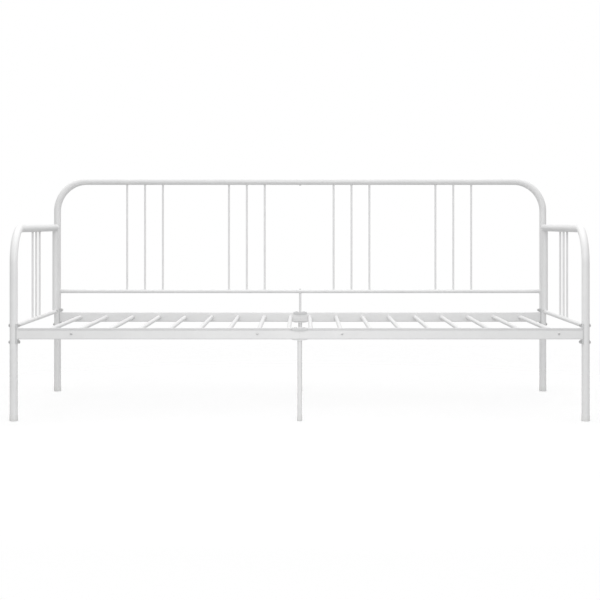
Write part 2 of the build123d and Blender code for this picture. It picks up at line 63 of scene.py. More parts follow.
Y_AXIS = Vector((0, 1, 0))
Z_AXIS = Vector((0, 0, 1))
SIDES = (("left", -1), ("right", 1))
ROWS = ("front", "rear")
MM = 0.001
RIPPLE = 2.2 * MM  # length of one ripple in a weld bead
RIPPLE_STEPS = 4
RIPPLE_SWELL = 0.1  # share of the bead's radius
BEAD_SIDES = 10

# ------------------------------------------------------------------ sizes from the frame
BEND_R = 125 * MM  # centreline radius of the backrest and arm bends
FRAME_WALL = 1.5 * MM
THIN_WALL = 1.2 * MM
BAR_WALL = 1.0 * MM
CENTRE_POST_WALL = 2.0 * MM
BARS_PER_GROUP = 3
SCREWED_SLATS = (2, 8, 11, 18)  # counted from the left

# ------------------------------------------------------------------ weld beads and facets
TUBE_BEAD = 2.0 * MM  # bead radius at rails and posts
BAR_BEAD = 1.3 * MM  # bead radius at the thin bars
RAIL_BEAD = 1.6 * MM
LEG_PLATE_BEAD = 1.4 * MM
FINE_SIDES = 64
SMALL_SIDES = 48
BAR_SIDES = 32


def middle(node):
    low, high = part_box(node)
    return (low + high) / 2


def size(node):
    low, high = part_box(node)
    return high - low


FRAME_R = size("arm_frame_left").x / 2
POST_R = size("arm_rear_post_left").x / 2
RAIL_R = size("slat_01").x / 2
BAR_R = size("back_bars_inner_left").y / 2
CENTRE_POST_R = size("back_centre_post").x / 2
LEG_X = middle("arm_frame_right").x
FRONT_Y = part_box("arm_frame_left")[0].y + FRAME_R
REAR_Y = middle("back_frame_left").y
LEG_FOOT_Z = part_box("back_frame_left")[0].z
BACK_TOP_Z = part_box("back_frame_left")[1].z - FRAME_R
ARM_TOP_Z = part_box("arm_frame_left")[1].z - FRAME_R
ARM_TUBE_END_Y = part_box("arm_frame_left")[1].y
BACK_RAIL_Z = middle("back_lower_rail_left").z
ARM_RAIL_Z = middle("arm_lower_rail_left").z
ARM_POST_Y = middle("arm_rear_post_left").y
RAIL_MID_Z = middle("slat_01").z
RAIL_TOP_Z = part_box("front_rail_left")[1].z
RAIL_BOTTOM_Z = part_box("front_rail_left")[0].z
RAIL_FACE = size("front_rail_left").y / 2  # rail centre plane to its outer face
ROW_Y = {"front": FRONT_Y, "rear": REAR_Y}


# ------------------------------------------------------------------ materials
def node_material(name, roughness, metallic=0.0):
    """A Principled material with object coordinates ready for its textures."""
    material = bpy.data.materials.new(name)
    material.use_nodes = True
    tree = material.node_tree
    shader = tree.nodes["Principled BSDF"]
    shader.inputs["Roughness"].default_value = roughness
    shader.inputs["Metallic"].default_value = metallic
    coords = tree.nodes.new("ShaderNodeTexCoord")
    return material, tree, shader, coords.outputs["Object"]


def noise(tree, coords, scale, detail=3.0, roughness=0.5):
    texture = tree.nodes.new("ShaderNodeTexNoise")
    texture.inputs["Scale"].default_value = scale
    texture.inputs["Detail"].default_value = detail
    texture.inputs["Roughness"].default_value = roughness
    tree.links.new(coords, texture.inputs["Vector"])
    return texture.outputs["Fac"]


def colour_ramp(tree, factor, stops):
    ramp = tree.nodes.new("ShaderNodeValToRGB")
    while len(ramp.color_ramp.elements) < len(stops):
        ramp.color_ramp.elements.new(0.5)
    for element, (position, colour) in zip(ramp.color_ramp.elements, stops):
        element.position = position
        element.color = (*colour, 1.0)
    tree.links.new(factor, ramp.inputs["Fac"])
    return ramp.outputs["Color"]


def remap(tree, factor, low, high):
    span = tree.nodes.new("ShaderNodeMapRange")
    span.inputs["To Min"].default_value = low
    span.inputs["To Max"].default_value = high
    tree.links.new(factor, span.inputs["Value"])
    return span.outputs["Result"]


def bumps(tree, layers):
    """Stacked bump nodes; each layer is (height, strength, distance)."""
    normal = None
    for height, strength, distance in layers:
        bump = tree.nodes.new("ShaderNodeBump")
        bump.inputs["Strength"].default_value = strength
        bump.inputs["Distance"].default_value = distance
        tree.links.new(height, bump.inputs["Height"])
        if normal:
            tree.links.new(normal, bump.inputs["Normal"])
        normal = bump.outputs["Normal"]
    return normal


def powder_coat():
    """Satin white powder coat: faint mottling and orange peel."""
    material, tree, shader, coords = node_material("white_powder_coat", roughness=0.32)
    mottling = noise(tree, coords, scale=14.0, detail=4.0, roughness=0.6)
    colour = colour_ramp(
        tree, mottling, ((0.3, (0.735, 0.735, 0.737)), (0.7, (0.765, 0.765, 0.765)))
    )
    tree.links.new(colour, shader.inputs["Base Color"])
    flow = noise(tree, coords, scale=60.0, detail=2.0)
    tree.links.new(remap(tree, flow, low=0.27, high=0.37), shader.inputs["Roughness"])
    peel = noise(tree, coords, scale=420.0, detail=1.0, roughness=0.4)
    grain = noise(tree, coords, scale=2600.0, detail=2.0, roughness=0.6)
    normal = bumps(tree, ((peel, 0.18, 0.00025), (grain, 0.12, 0.00006)))
    tree.links.new(normal, shader.inputs["Normal"])
    return material


def moulded_plastic():
    """Matt white polypropylene with a fine spark-eroded grain."""
    material, tree, shader, coords = node_material("white_plastic", roughness=0.55)
    tint = noise(tree, coords, scale=30.0, detail=3.0)
    colour = colour_ramp(
        tree, tint, ((0.3, (0.70, 0.70, 0.695)), (0.7, (0.735, 0.735, 0.73)))
    )
    tree.links.new(colour, shader.inputs["Base Color"])
    wear = noise(tree, coords, scale=140.0, detail=4.0, roughness=0.7)
    tree.links.new(remap(tree, wear, low=0.45, high=0.62), shader.inputs["Roughness"])
    grain = noise(tree, coords, scale=1800.0, detail=2.0, roughness=0.7)
    tree.links.new(bumps(tree, ((grain, 0.35, 0.00012),)), shader.inputs["Normal"])
    return material


def zinc_plate():
    """Passivated zinc: grey with a faint straw and blue bloom."""
    material, tree, shader, coords = node_material("zinc_fasteners", roughness=0.36, metallic=1.0)
    bloom = noise(tree, coords, scale=260.0, detail=3.0, roughness=0.55)
    colour = colour_ramp(
        tree,
        bloom,
        (
            (0.25, (0.58, 0.59, 0.61)),
            (0.5, (0.66, 0.66, 0.66)),
            (0.75, (0.69, 0.68, 0.65)),
        ),
    )
    tree.links.new(colour, shader.inputs["Base Color"])
    smear = noise(tree, coords, scale=700.0, detail=4.0, roughness=0.7)
    tree.links.new(remap(tree, smear, low=0.28, high=0.5), shader.inputs["Roughness"])
    tree.links.new(bumps(tree, ((smear, 0.2, 0.00008),)), shader.inputs["Normal"])
    return material


def mill_steel():
    """Bare drawn tube: dark grey with streaks along it."""
    material, tree, shader, coords = node_material("bare_steel", roughness=0.5, metallic=1.0)
    streaks = noise(tree, coords, scale=90.0, detail=6.0, roughness=0.75)
    colour = colour_ramp(
        tree, streaks, ((0.3, (0.26, 0.26, 0.27)), (0.7, (0.4, 0.4, 0.39)))
    )
    tree.links.new(colour, shader.inputs["Base Color"])
    tree.links.new(remap(tree, streaks, low=0.4, high=0.62), shader.inputs["Roughness"])
    tree.links.new(bumps(tree, ((streaks, 0.2, 0.0001),)), shader.inputs["Normal"])
    return material


def galvanised_and_painted_shade():
    """Dull galvanised sheet: pale grey with soft spangle. The grey, darker than the white frame, is
    partly the plate's own tone and partly painted shade for the corner where a saddle meets its
    rail and for the hollow under the clamp lips.
    """
    material, tree, shader, coords = node_material("galvanised_plate", roughness=0.6, metallic=0.15)
    cells = tree.nodes.new("ShaderNodeTexVoronoi")
    cells.inputs["Scale"].default_value = 320.0
    tree.links.new(coords, cells.inputs["Vector"])
    # Darker grey than the powder coat: partly the plate's tone, partly painted shade for the
    # saddle-to-rail corners and under the clamp lips.
    colour = colour_ramp(
        tree, cells.outputs["Distance"], ((0.0, (0.53, 0.535, 0.54)), (0.9, (0.63, 0.63, 0.63)))
    )
    tree.links.new(colour, shader.inputs["Base Color"])
    dulling = noise(tree, coords, scale=500.0, detail=3.0, roughness=0.6)
    tree.links.new(remap(tree, dulling, low=0.5, high=0.7), shader.inputs["Roughness"])
    tree.links.new(bumps(tree, ((dulling, 0.15, 0.00008),)), shader.inputs["Normal"])
    return material


MATERIALS = {
    "galvanised_plate": galvanised_and_painted_shade(),
    "white_powder_coat": powder_coat(),
    "white_plastic": moulded_plastic(),
    "zinc_fasteners": zinc_plate(),
    "bare_steel": mill_steel(),
}


# ------------------------------------------------------------------ mesh helpers
class Shape:
    """Vertices and faces of one piece, gathered from several closed skins."""

    def __init__(self):
        self.points = []
        self.faces = []

    def rings(self, rings, loop=False, fan_ends=False):
        """Skin a list of rings of equal length; loop joins the last ring to the first."""
        start = len(self.points)
        count = len(rings[0])
        for ring in rings:
            self.points.extend(ring)
        pairs = len(rings) if loop else len(rings) - 1
        for i in range(pairs):
            a = start + i * count
            b = start + (i + 1) % len(rings) * count
            for j in range(count):
                k = (j + 1) % count
                self.faces.append((a + j, a + k, b + k, b + j))
        if fan_ends:
            self.fan(start, count, flip=True)
            self.fan(start + (len(rings) - 1) * count, count, flip=False)

    def band(self, sections):
        """Skin open sections whose second half runs back along the first."""
        start = len(self.points)
        count = len(sections[0])
        self.rings(sections)
        for first, flip in ((start, True), (start + (len(sections) - 1) * count, False)):
            for j in range(count // 2 - 1):
                a, b = first + j, first + j + 1
                c, d = first + count - 2 - j, first + count - 1 - j
                self.faces.append((a, d, c, b) if flip else (a, b, c, d))

    def fan(self, first, count, flip):
        """Close a ring with triangles to its centre."""
        ring = self.points[first:first + count]
        centre = len(self.points)
        self.points.append(sum(ring, Vector()) / count)
        for j in range(count):
            a = first + j
            b = first + (j + 1) % count
            self.faces.append((b, a, centre) if flip else (a, b, centre))

    def make(self, name, slot_name, replaced=(), sharp=35.0):
        """Turn the shape into a piece that rides on the body."""
        mesh = bpy.data.meshes.new(name)
        mesh.from_pydata([tuple(p) for p in self.points], [], self.faces)
        mesh.update()
        piece = bpy.data.objects.new(name, mesh)
        bpy.context.scene.collection.objects.link(piece)
        with_outward_faces(mesh)
        mesh.shade_smooth()
        mesh.set_sharp_from_angle(angle=math.radians(sharp))
        mesh.materials.append(MATERIALS[slot_name])
        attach(piece, BODY)
        if replaced:
            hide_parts(*replaced)
        return piece


def with_outward_faces(mesh):
    """Turn every face outwards, skin by skin."""
    work = bmesh.new()
    work.from_mesh(mesh)
    bmesh.ops.recalc_face_normals(work, faces=work.faces)
    work.to_mesh(mesh)
    work.free()


def across(direction):
    """Two unit vectors square to a direction and to each other."""
    helper = Z_AXIS if abs(direction.z) < 0.9 else X_AXIS
    u = direction.cross(helper).normalized()
    return u, direction.cross(u).normalized()


def circle(centre, u, v, radius, sides):
    turn = 2 * math.pi / sides
    return [
        centre + radius * (math.cos(j * turn) * u + math.sin(j * turn) * v)
        for j in range(sides)
    ]


def meet_cylinder(point, outward, cylinder):
    """Move a point back along a tube until it lies on the cylinder's surface."""
    centre, axis, radius = cylinder
    offset = point - centre
    offset = offset - offset.dot(axis) * axis
    step = outward - outward.dot(axis) * axis
    a = step.dot(step)
    b = 2 * offset.dot(step)
    c = offset.dot(offset) - radius * radius
    root = math.sqrt(max(b * b - 4 * a * c, 0.0))
    return point + outward * ((-b - root) / (2 * a))


def tube_route(corners, bend_r=0.0, steps=40):
    """Points and directions along straight runs joined by one tangent bend."""
    if len(corners) == 2:
        along = (corners[1] - corners[0]).normalized()
        return [(corners[0], along), (corners[1], along)]
    start, corner, end = corners
    first = (corner - start).normalized()
    second = (end - corner).normalized()
    centre = corner - bend_r * first + bend_r * second
    route = [(start, first)]
    for i in range(steps + 1):
        angle = math.pi / 2 * i / steps
        point = centre - bend_r * math.cos(angle) * second + bend_r * math.sin(angle) * first
        route.append((point, math.cos(angle) * first + math.sin(angle) * second))
    route.append((end, second))
    return route


def tube(shape, corners, radius, wall, sides=FINE_SIDES, bend_r=0.0, start_on=None, end_on=None):
    """Hollow tube along a route; its ends may be shaped to other tubes."""
    route = tube_route(corners, bend_r)
    side_axis = across(route[0][1])[0]
    if len(corners) == 3:
        side_axis = route[0][1].cross(route[-1][1]).normalized()

    def skin(skin_r):
        rings = []
        for point, along in route:
            rings.append(circle(point, side_axis, along.cross(side_axis), skin_r, sides))
        if start_on:
            rings[0] = [meet_cylinder(p, -route[0][1], start_on) for p in rings[0]]
        if end_on:
            rings[-1] = [meet_cylinder(p, route[-1][1], end_on) for p in rings[-1]]
        return rings

    shape.rings(skin(radius) + skin(radius - wall)[::-1], loop=True)


def bead_along(shape, seam, outward, bead):
    """Rippled weld bead on a closed line of points, given the surface's outward directions."""
    steps = len(seam)
    rings = []
    for j, point in enumerate(seam):
        tangent = (seam[(j + 1) % steps] - seam[j - 1]).normalized()
        side = tangent.cross(outward[j]).normalized()
        swell = 1.0 + RIPPLE_SWELL * math.cos(2 * math.pi * j / RIPPLE_STEPS)
        rings.append(circle(point, side, side.cross(tangent), bead * swell, BEAD_SIDES))
    shape.rings(rings, loop=True)


def weld(shape, centre, along, radius, onto, bead):
    """Bead where a tube of that radius meets another tube."""
    u, v = across(along)
    steps = RIPPLE_STEPS * max(12, round(2 * math.pi * radius / RIPPLE))
    seam = [meet_cylinder(p, along, onto) for p in circle(centre, u, v, radius, steps)]
    axis_point, axis, _ = onto
    outward = []
    for point in seam:
        offset = point - axis_point
        outward.append((offset - offset.dot(axis) * axis).normalized())
    bead_along(shape, seam, outward, bead)


def lathe(shape, base, along, profile, sides=SMALL_SIDES):
    """Turned solid: the profile is (height, radius) from one end to the other."""
    u, v = across(along)
    rings = [circle(base + along * height, u, v, radius, sides) for height, radius in profile]
    shape.rings(rings, fan_ends=True)


def arc_profile(centre_height, centre_radius, bend, start, stop, steps):
    """Points of a rounded edge, angles in degrees from the radius towards the height."""
    points = []
    for i in range(steps + 1):
        angle = math.radians(start + (stop - start) * i / steps)
        height = centre_height + bend * math.sin(angle)
        points.append((height, centre_radius + bend * math.cos(angle)))
    return points


def hexagon_radius(angle, flats):
    """Distance from the centre to a hexagon's edge in that direction."""
    turned = (angle + math.pi / 6) % (math.pi / 3) - math.pi / 6
    return flats / 2 / math.cos(turned)


def shaped_ring(centre, u, v, radius_at, sides=SMALL_SIDES):
    turn = 2 * math.pi / sides
    return [
        centre + radius_at(j * turn) * (math.cos(j * turn) * u + math.sin(j * turn) * v)
        for j in range(sides)
    ]


# ------------------------------------------------------------------ fasteners
THREAD_R = 3.0 * MM
SOCKET = 4.0 * MM
NUT_FLATS = 10.0 * MM
NUT_HEIGHT = 5.0 * MM


def button_head(shape, seat, along, head_r, head_h, shank):
    """Domed socket screw: the head stands on its seat, the shank runs back from it."""
    u, v = across(along)
    dome_from = 0.3 * head_h
    rings = [
        circle(seat - along * shank, u, v, 0.8 * THREAD_R, 48),
        circle(seat - along * (shank - 0.6 * MM), u, v, THREAD_R, 48),
        circle(seat, u, v, THREAD_R, 48),
        circle(seat, u, v, head_r - 0.2 * MM, 48),
        circle(seat + along * 0.2 * MM, u, v, head_r, 48),
    ]
    crown_r = 0.62 * SOCKET
    for i in range(9):
        angle = math.pi / 2 * i / 8
        height = dome_from + (head_h - dome_from) * math.sin(angle)
        radius = crown_r + (head_r - crown_r) * math.cos(angle)
        rings.append(circle(seat + along * height, u, v, radius, 48))
    for depth, scale in ((0.0, 1.04), (0.15 * MM, 1.0), (0.55 * head_h, 1.0)):
        rings.append(
            shaped_ring(
                seat + along * (head_h - depth),
                u,
                v,
                lambda a, s=scale: hexagon_radius(a, SOCKET) * s,
            )
        )
    shape.rings(rings, fan_ends=True)


def hex_nut(shape, seat, along, thickness=NUT_HEIGHT):
    """Chamfered nut standing on its seat, with a threaded bore."""
    u, v = across(along)
    corner_r = NUT_FLATS / math.sqrt(3)
    rings = []
    for height, limit in (
        (0.0, 0.93 * corner_r),
        (0.1, 0.985 * corner_r),
        (0.2, corner_r),
        (0.8, corner_r),
        (0.9, 0.985 * corner_r),
        (1.0, 0.93 * corner_r),
    ):
        rings.append(
            shaped_ring(
                seat + along * (height * thickness),
                u,
                v,
                lambda a, m=limit: min(hexagon_radius(a, NUT_FLATS), m),
                96,
            )
        )
    bore = [(1.0, 1.12), (0.92, 1.0), (0.08, 1.0), (0.0, 1.12)]
    for height, scale in bore:
        rings.append(circle(seat + along * (height * thickness), u, v, THREAD_R * scale, 96))
    shape.rings(rings, loop=True)


def thread_tail(shape, start, along, length, turns=3):
    """The threaded end of a bolt that shows past its nut."""
    profile = [(0.0, THREAD_R)]
    pitch = length / turns
    for i in range(turns):
        profile.append(((i + 0.5) * pitch, 0.86 * THREAD_R))
        profile.append(((i + 1) * pitch, THREAD_R if i < turns - 1 else 0.84 * THREAD_R))
    lathe(shape, start, along, profile)


# ------------------------------------------------------------------ backrest
BACK_TOP_AXIS = (Vector((0, REAR_Y, BACK_TOP_Z)), X_AXIS, FRAME_R)
BACK_RAIL_AXIS = (Vector((0, REAR_Y, BACK_RAIL_Z)), X_AXIS, RAIL_R)


def leg_axis(side, y):
    return (Vector((side * LEG_X, y, 0)), Z_AXIS, FRAME_R)


def bar_centres(low, high):
    """Axes of a group of bars, from the group's two outer edges."""
    first = low + BAR_R
    pitch = (high - low - 2 * BAR_R) / (BARS_PER_GROUP - 1)
    return [first + i * pitch for i in range(BARS_PER_GROUP)]


def inner_end_x(node, side):
    """Where a left or right half ends at the middle of the bed."""
    low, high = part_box(node)
    return high.x if side < 0 else low.x


for side_name, side in SIDES:
    node = f"back_frame_{side_name}"
    seam_x = inner_end_x(node, side)
    shape = Shape()
    corners = (
        Vector((side * LEG_X, REAR_Y, LEG_FOOT_Z)),
        Vector((side * LEG_X, REAR_Y, BACK_TOP_Z)),
        Vector((seam_x, REAR_Y, BACK_TOP_Z)),
    )
    tube(shape, corners, FRAME_R, FRAME_WALL, bend_r=BEND_R)
    shape.make(f"back_tube_{side_name}", "white_powder_coat", [node])

    node = f"back_lower_rail_{side_name}"
    seam_x = inner_end_x(node, side)
    shape = Shape()
    corners = (Vector((seam_x, REAR_Y, BACK_RAIL_Z)), Vector((side * LEG_X, REAR_Y, BACK_RAIL_Z)))
    tube(shape, corners, RAIL_R, THIN_WALL, SMALL_SIDES, end_on=leg_axis(side, REAR_Y))
    shape.make(f"back_cross_rail_{side_name}", "white_powder_coat", [node])

    welds = Shape()
    weld(welds, corners[1], X_AXIS * side, RAIL_R, leg_axis(side, REAR_Y), TUBE_BEAD)
    for place in ("inner", "outer"):
        node = f"back_bars_{place}_{side_name}"
        shape = Shape()
        low_edge, high_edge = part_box(node)
        for x in bar_centres(low_edge.x, high_edge.x):
            low = Vector((x, REAR_Y, BACK_RAIL_Z))
            high = Vector((x, REAR_Y, BACK_TOP_Z))
            tube(
                shape,
                (low, high),
                BAR_R,
                BAR_WALL,
                BAR_SIDES,
                start_on=BACK_RAIL_AXIS,
                end_on=BACK_TOP_AXIS,
            )
            weld(welds, low, -Z_AXIS, BAR_R, BACK_RAIL_AXIS, BAR_BEAD)
            weld(welds, high, Z_AXIS, BAR_R, BACK_TOP_AXIS, BAR_BEAD)
        shape.make(f"back_uprights_{place}_{side_name}", "white_powder_coat", [node])
    welds.make(f"back_welds_{side_name}", "white_powder_coat")

shape = Shape()
foot = Vector((0, REAR_Y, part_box("back_centre_post")[0].z))
head = Vector((0, REAR_Y, BACK_RAIL_Z))
tube(shape, (foot, head), CENTRE_POST_R, CENTRE_POST_WALL, BAR_SIDES, end_on=BACK_RAIL_AXIS)
shape.make("back_middle_post", "white_powder_coat", ["back_centre_post"])
shape = Shape()
weld(shape, head, Z_AXIS, CENTRE_POST_R, BACK_RAIL_AXIS, BAR_BEAD)
shape.make("back_post_weld", "white_powder_coat")

# ------------------------------------------------------------------ arms
for side_name, side in SIDES:
    x = side * LEG_X
    top_axis = (Vector((x, 0, ARM_TOP_Z)), Y_AXIS, FRAME_R)
    rail_axis = (Vector((x, 0, ARM_RAIL_Z)), Y_AXIS, RAIL_R)
    node = f"arm_frame_{side_name}"
    shape = Shape()
    corners = (
        Vector((x, FRONT_Y, LEG_FOOT_Z)),
        Vector((x, FRONT_Y, ARM_TOP_Z)),
        Vector((x, ARM_TUBE_END_Y, ARM_TOP_Z)),
    )
    tube(shape, corners, FRAME_R, FRAME_WALL, bend_r=BEND_R)
    shape.make(f"arm_tube_{side_name}", "white_powder_coat", [node])

    node = f"arm_lower_rail_{side_name}"
    rail_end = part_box(node)[1].y
    shape = Shape()
    front_end = Vector((x, FRONT_Y, ARM_RAIL_Z))
    tube(
        shape,
        (front_end, Vector((x, rail_end, ARM_RAIL_Z))),
        RAIL_R,
        THIN_WALL,
        SMALL_SIDES,
        start_on=leg_axis(side, FRONT_Y),
    )
    shape.make(f"arm_rail_{side_name}", "white_powder_coat", [node])

    node = f"arm_rear_post_{side_name}"
    shape = Shape()
    post_foot = Vector((x, ARM_POST_Y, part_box(node)[0].z))
    post_head = Vector((x, ARM_POST_Y, ARM_TOP_Z))
    tube(shape, (post_foot, post_head), POST_R, THIN_WALL, FINE_SIDES, end_on=top_axis)
    shape.make(f"arm_post_{side_name}", "white_powder_coat", [node])

    welds = Shape()
    weld(welds, front_end, -Y_AXIS, RAIL_R, leg_axis(side, FRONT_Y), TUBE_BEAD)
    weld(welds, post_head, Z_AXIS, POST_R, top_axis, TUBE_BEAD)
    low_edge, high_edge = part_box(f"arm_bars_{side_name}")
    shape = Shape()
    for y in bar_centres(low_edge.y, high_edge.y):
        bottom = Vector((x, y, ARM_RAIL_Z))
        top = Vector((x, y, ARM_TOP_Z))
        tube(shape, (bottom, top), BAR_R, BAR_WALL, BAR_SIDES, start_on=rail_axis, end_on=top_axis)
        weld(welds, bottom, -Z_AXIS, BAR_R, rail_axis, BAR_BEAD)
        weld(welds, top, Z_AXIS, BAR_R, top_axis, BAR_BEAD)
    shape.make(f"arm_uprights_{side_name}", "white_powder_coat", [f"arm_bars_{side_name}"])
    welds.make(f"arm_welds_{side_name}", "white_powder_coat")

# ------------------------------------------------------------------ fasteners in place
CORNER_BOLT_RISE = 30 * MM  # above and below the side rail's mid-height
SADDLE_WALL = 2.5 * MM
JOINT_BOLT_X = 15 * MM
SADDLE_R = FRAME_R + SADDLE_WALL
BOLT_HEAD = (6.0 * MM, 4.0 * MM)  # radius and height
SMALL_HEAD = (4.5 * MM, 2.5 * MM)
BOLT_TAIL_FROM = 4.6 * MM  # from the nut's seat
BOLT_TAIL = 2.4 * MM
JOINT_SHANK = 44 * MM
SLAT_SHANK = 12 * MM
SPACER_R = 6 * MM
SPACER_WALL = 2.8 * MM

bolts = Shape()
nuts = Shape()
for _, side in SIDES:
    for row in ROWS:
        for rise in (-CORNER_BOLT_RISE, CORNER_BOLT_RISE):
            height = RAIL_MID_Z + rise
            outer = Vector((side * (LEG_X + FRAME_R), ROW_Y[row], height))
            inner = Vector((side * (LEG_X - SADDLE_R), ROW_Y[row], height))
            inward = -side * X_AXIS
            button_head(bolts, outer, -inward, *BOLT_HEAD, 2 * FRAME_R)
            thread_tail(bolts, inner + inward * BOLT_TAIL_FROM, inward, BOLT_TAIL)
            hex_nut(nuts, inner, inward)
bolts.make("corner_button_bolts", "zinc_fasteners", ["corner_bolts"])
nuts.make("corner_hex_nuts", "zinc_fasteners", ["corner_nuts"])

joint_bolts = Shape()
bolt_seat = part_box("rail_joint_clamps")[1].z
for row in ROWS:
    for x in (-JOINT_BOLT_X, JOINT_BOLT_X):
        seat = Vector((x, ROW_Y[row], bolt_seat))
        button_head(joint_bolts, seat, Z_AXIS, *SMALL_HEAD, JOINT_SHANK)
joint_bolts.make("rail_middle_bolts", "zinc_fasteners", ["rail_joint_bolts"])

screwed_xs = [middle(f"slat_{number:02d}").x for number in SCREWED_SLATS]
slat_screws = Shape()
for x in screwed_xs:
    for row, outward in (("front", -Y_AXIS), ("rear", Y_AXIS)):
        seat = Vector((x, ROW_Y[row], RAIL_MID_Z)) + outward * RAIL_FACE
        button_head(slat_screws, seat, outward, *SMALL_HEAD, SLAT_SHANK)
slat_screws.make("slat_face_screws", "zinc_fasteners", ["slat_screws"])

arm_bolts = Shape()
spacers = Shape()
bolt_low, bolt_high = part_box("arm_bolts")
bolt_seat_y = bolt_high.y - BOLT_HEAD[1]
arm_bolt_heights = (bolt_low.z + BOLT_HEAD[0], bolt_high.z - BOLT_HEAD[0])
for _, side in SIDES:
    leg = (Vector((side * LEG_X, REAR_Y, 0)), Z_AXIS, FRAME_R)
    post = (Vector((side * LEG_X, ARM_POST_Y, 0)), Z_AXIS, POST_R)
    for height in arm_bolt_heights:
        seat = Vector((side * LEG_X, bolt_seat_y, height))
        button_head(arm_bolts, seat, Y_AXIS, *BOLT_HEAD, seat.y - bolt_low.y)
        from_post = Vector((side * LEG_X, ARM_POST_Y, height))
        from_leg = Vector((side * LEG_X, REAR_Y, height))
        tube(
            spacers,
            (from_post, from_leg),
            SPACER_R,
            SPACER_WALL,
            SMALL_SIDES,
            start_on=post,
            end_on=leg,
        )
arm_bolts.make("arm_button_bolts", "zinc_fasteners", ["arm_bolts"])
spacers.make("arm_shaped_spacers", "white_powder_coat", ["arm_spacers"])

# ------------------------------------------------------------------ saddles and their welds
SADDLE_HEIGHT = 72 * MM
SADDLE_HALF_ANGLE = math.radians(55)
SADDLE_EDGE = 0.5 * MM
RAIL_HALF_HEIGHT = (RAIL_TOP_Z - RAIL_BOTTOM_Z) / 2
RAIL_CORNER_R = 3.5 * MM
RAIL_CORNER_STEPS = 3
SADDLE_STEPS = 28
UNDERCUT_FOOT = 9 * MM
UNDERCUT_DEPTH = 4.5 * MM


def saddle_section(centre, towards, inset):
    """Plan outline of a saddle: outer arc one way, inner arc back."""
    half = SADDLE_HALF_ANGLE - inset / FRAME_R
    angles = [half * (2 * i / SADDLE_STEPS - 1) for i in range(SADDLE_STEPS + 1)]
    outer = [(angle, SADDLE_R - inset) for angle in angles]
    inner = [(angle, FRAME_R + inset) for angle in reversed(angles)]
    return [
        centre + radius * (math.cos(angle) * towards + math.sin(angle) * Y_AXIS)
        for angle, radius in outer + inner
    ]


def rail_outline(outward):
    """Points round a side rail's end, as (y, z) from its centre."""
    corner = RAIL_FACE - RAIL_CORNER_R
    shoulder = RAIL_HALF_HEIGHT - RAIL_CORNER_R
    outline = []
    for y_sign, z_sign, start in ((1, -1, 0), (-1, -1, -90), (-1, 1, 180)):
        for i in range(RAIL_CORNER_STEPS + 1):
            angle = math.radians(start - 90 * i / RAIL_CORNER_STEPS)
            outline.append(
                (
                    y_sign * corner + RAIL_CORNER_R * math.cos(angle),
                    z_sign * shoulder + RAIL_CORNER_R * math.sin(angle),
                )
            )
    outline.append((RAIL_FACE, RAIL_HALF_HEIGHT))
    outline.append((RAIL_FACE - UNDERCUT_DEPTH, RAIL_HALF_HEIGHT - UNDERCUT_FOOT))
    outline.append((RAIL_FACE, RAIL_HALF_HEIGHT - UNDERCUT_FOOT))
    return [(outward * y, z) for y, z in outline]


def evenly(points, spacing):
    """Closed line of (y, z) points, filled in at about that spacing."""
    dense = []
    for (y0, z0), (y1, z1) in zip(points, points[1:] + points[:1]):
        count = max(1, round(math.dist((y0, z0), (y1, z1)) / spacing))
        for i in range(count):
            dense.append((y0 + (y1 - y0) * i / count, z0 + (z1 - z0) * i / count))
    return dense


saddles = Shape()
rail_welds = Shape()
for _, side in SIDES:
    towards = -side * X_AXIS
    for row in ROWS:
        centre = Vector((side * LEG_X, ROW_Y[row], RAIL_MID_Z))
        sections = []
        for height, inset in (
            (-0.5, SADDLE_EDGE),
            (-0.5 + SADDLE_EDGE / SADDLE_HEIGHT, 0.0),
            (0.5 - SADDLE_EDGE / SADDLE_HEIGHT, 0.0),
            (0.5, SADDLE_EDGE),
        ):
            at_height = centre + Z_AXIS * height * SADDLE_HEIGHT
            sections.append(saddle_section(at_height, towards, inset))
        saddles.band(sections)
        outward_y = -1 if row == "front" else 1
        seam = []
        outward = []
        for y, z in evenly(rail_outline(outward_y), RIPPLE / RIPPLE_STEPS):
            reach = math.sqrt(SADDLE_R**2 - y**2)
            offset = towards * reach + Y_AXIS * y
            seam.append(centre + offset + Z_AXIS * z)
            outward.append(offset.normalized())
        bead_along(rail_welds, seam, outward, RAIL_BEAD)
# The saddles' darker grey partly paints the shade in the corner between saddle and rail.
saddles.make("leg_saddles", "galvanised_plate", ["rail_end_saddles"])
rail_welds.make("side_rail_welds", "white_powder_coat")

LEG_PLATE = 4.4 * MM  # depth of the plate on a centre leg, below the rail
leg_welds = Shape()
for row in ROWS:
    ring = RIPPLE_STEPS * round(2 * math.pi * RAIL_R / RIPPLE)
    under_plate = Vector((0, ROW_Y[row], RAIL_BOTTOM_Z - LEG_PLATE))
    seam = circle(under_plate, X_AXIS, Y_AXIS, RAIL_R, ring)
    bead_along(leg_welds, seam, [-Z_AXIS] * ring, LEG_PLATE_BEAD)
leg_welds.make("centre_leg_welds", "white_powder_coat")

# ------------------------------------------------------------------ clamps over the seams
CLAMP_WALL = 1.5 * MM
CLAMP_HALF = size("rail_joint_clamps").x / 2
CLAMP_BEND = 1.8 * MM
LIP_ENDS = 8.5 * MM
LIP_MIDDLE = 11.5 * MM
CLAMP_INNER_BEND = 0.4 * MM
CLAMP_EDGE = 0.3 * MM
LIP_STEPS = (0.75, 0.5, 0.3)  # shares of the lip's depth, from its edge upwards
BEND_STEPS = 5


